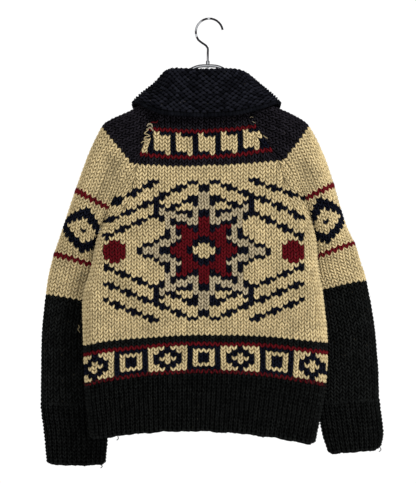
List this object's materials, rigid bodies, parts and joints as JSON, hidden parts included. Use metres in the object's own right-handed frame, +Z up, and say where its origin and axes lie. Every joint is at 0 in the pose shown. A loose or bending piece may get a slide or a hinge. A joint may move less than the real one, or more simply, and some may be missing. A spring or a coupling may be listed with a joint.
{
  "type": "cowichan cardigan on a hanger",
  "caption": "Bulky hand-knit zip-front cardigan with a wide folded collar, raglan sleeves and ribbed hem and cuffs, hung on a chrome wire hanger by its hook.",
  "frame": {"origin": "inside top of the hanger's hook, where a rail bears on it", "axes": "+Z up, the garment's front faces -Y, +X is towards the wearer's left"},
  "size_m": [0.6364, 0.1212, 0.8269],
  "materials": {
    "body_wool": "hand-knit stocking stitch in bulky cream wool with coloured bands",
    "sleeve_wool": "hand-knit stocking stitch in bulky cream and black wool",
    "rib_wool": "black knit one, purl one rib in bulky wool",
    "collar_wool": "black textured knit in bulky wool",
    "chrome": "polished wire and tube",
    "zip_brass": "dull brass",
    "zip_tape": "black woven cotton tape"
  },
  "bodies": {
    "garment": {"back": "body_wool", "collar": "collar_wool", "cuff_left": "rib_wool", "cuff_right": "rib_wool", "front_left": "body_wool", "front_right": "body_wool", "hanger_arms": "chrome", "hanger_ferrule": "chrome", "hanger_hook": "chrome", "hanger_nut": "chrome", "hem_back": "rib_wool", "hem_front_left": "rib_wool", "hem_front_right": "rib_wool", "sleeve_left": "sleeve_wool", "sleeve_right": "sleeve_wool", "zip_box": "zip_brass", "zip_chain": "zip_brass", "zip_slider": "zip_brass", "zip_tape_left": "zip_tape", "zip_tape_right": "zip_tape"},
    "pull_tab": {"zip_pull": "zip_brass"}
  },
  "joints": [
    {"name": "pull_tab_swing", "type": "hinge", "parent": "garment", "child": "pull_tab", "pos_m": [0.008, -0.02778, -0.236], "axis": [-1, 0, 0], "range_deg": [0, 150]}
  ]
}
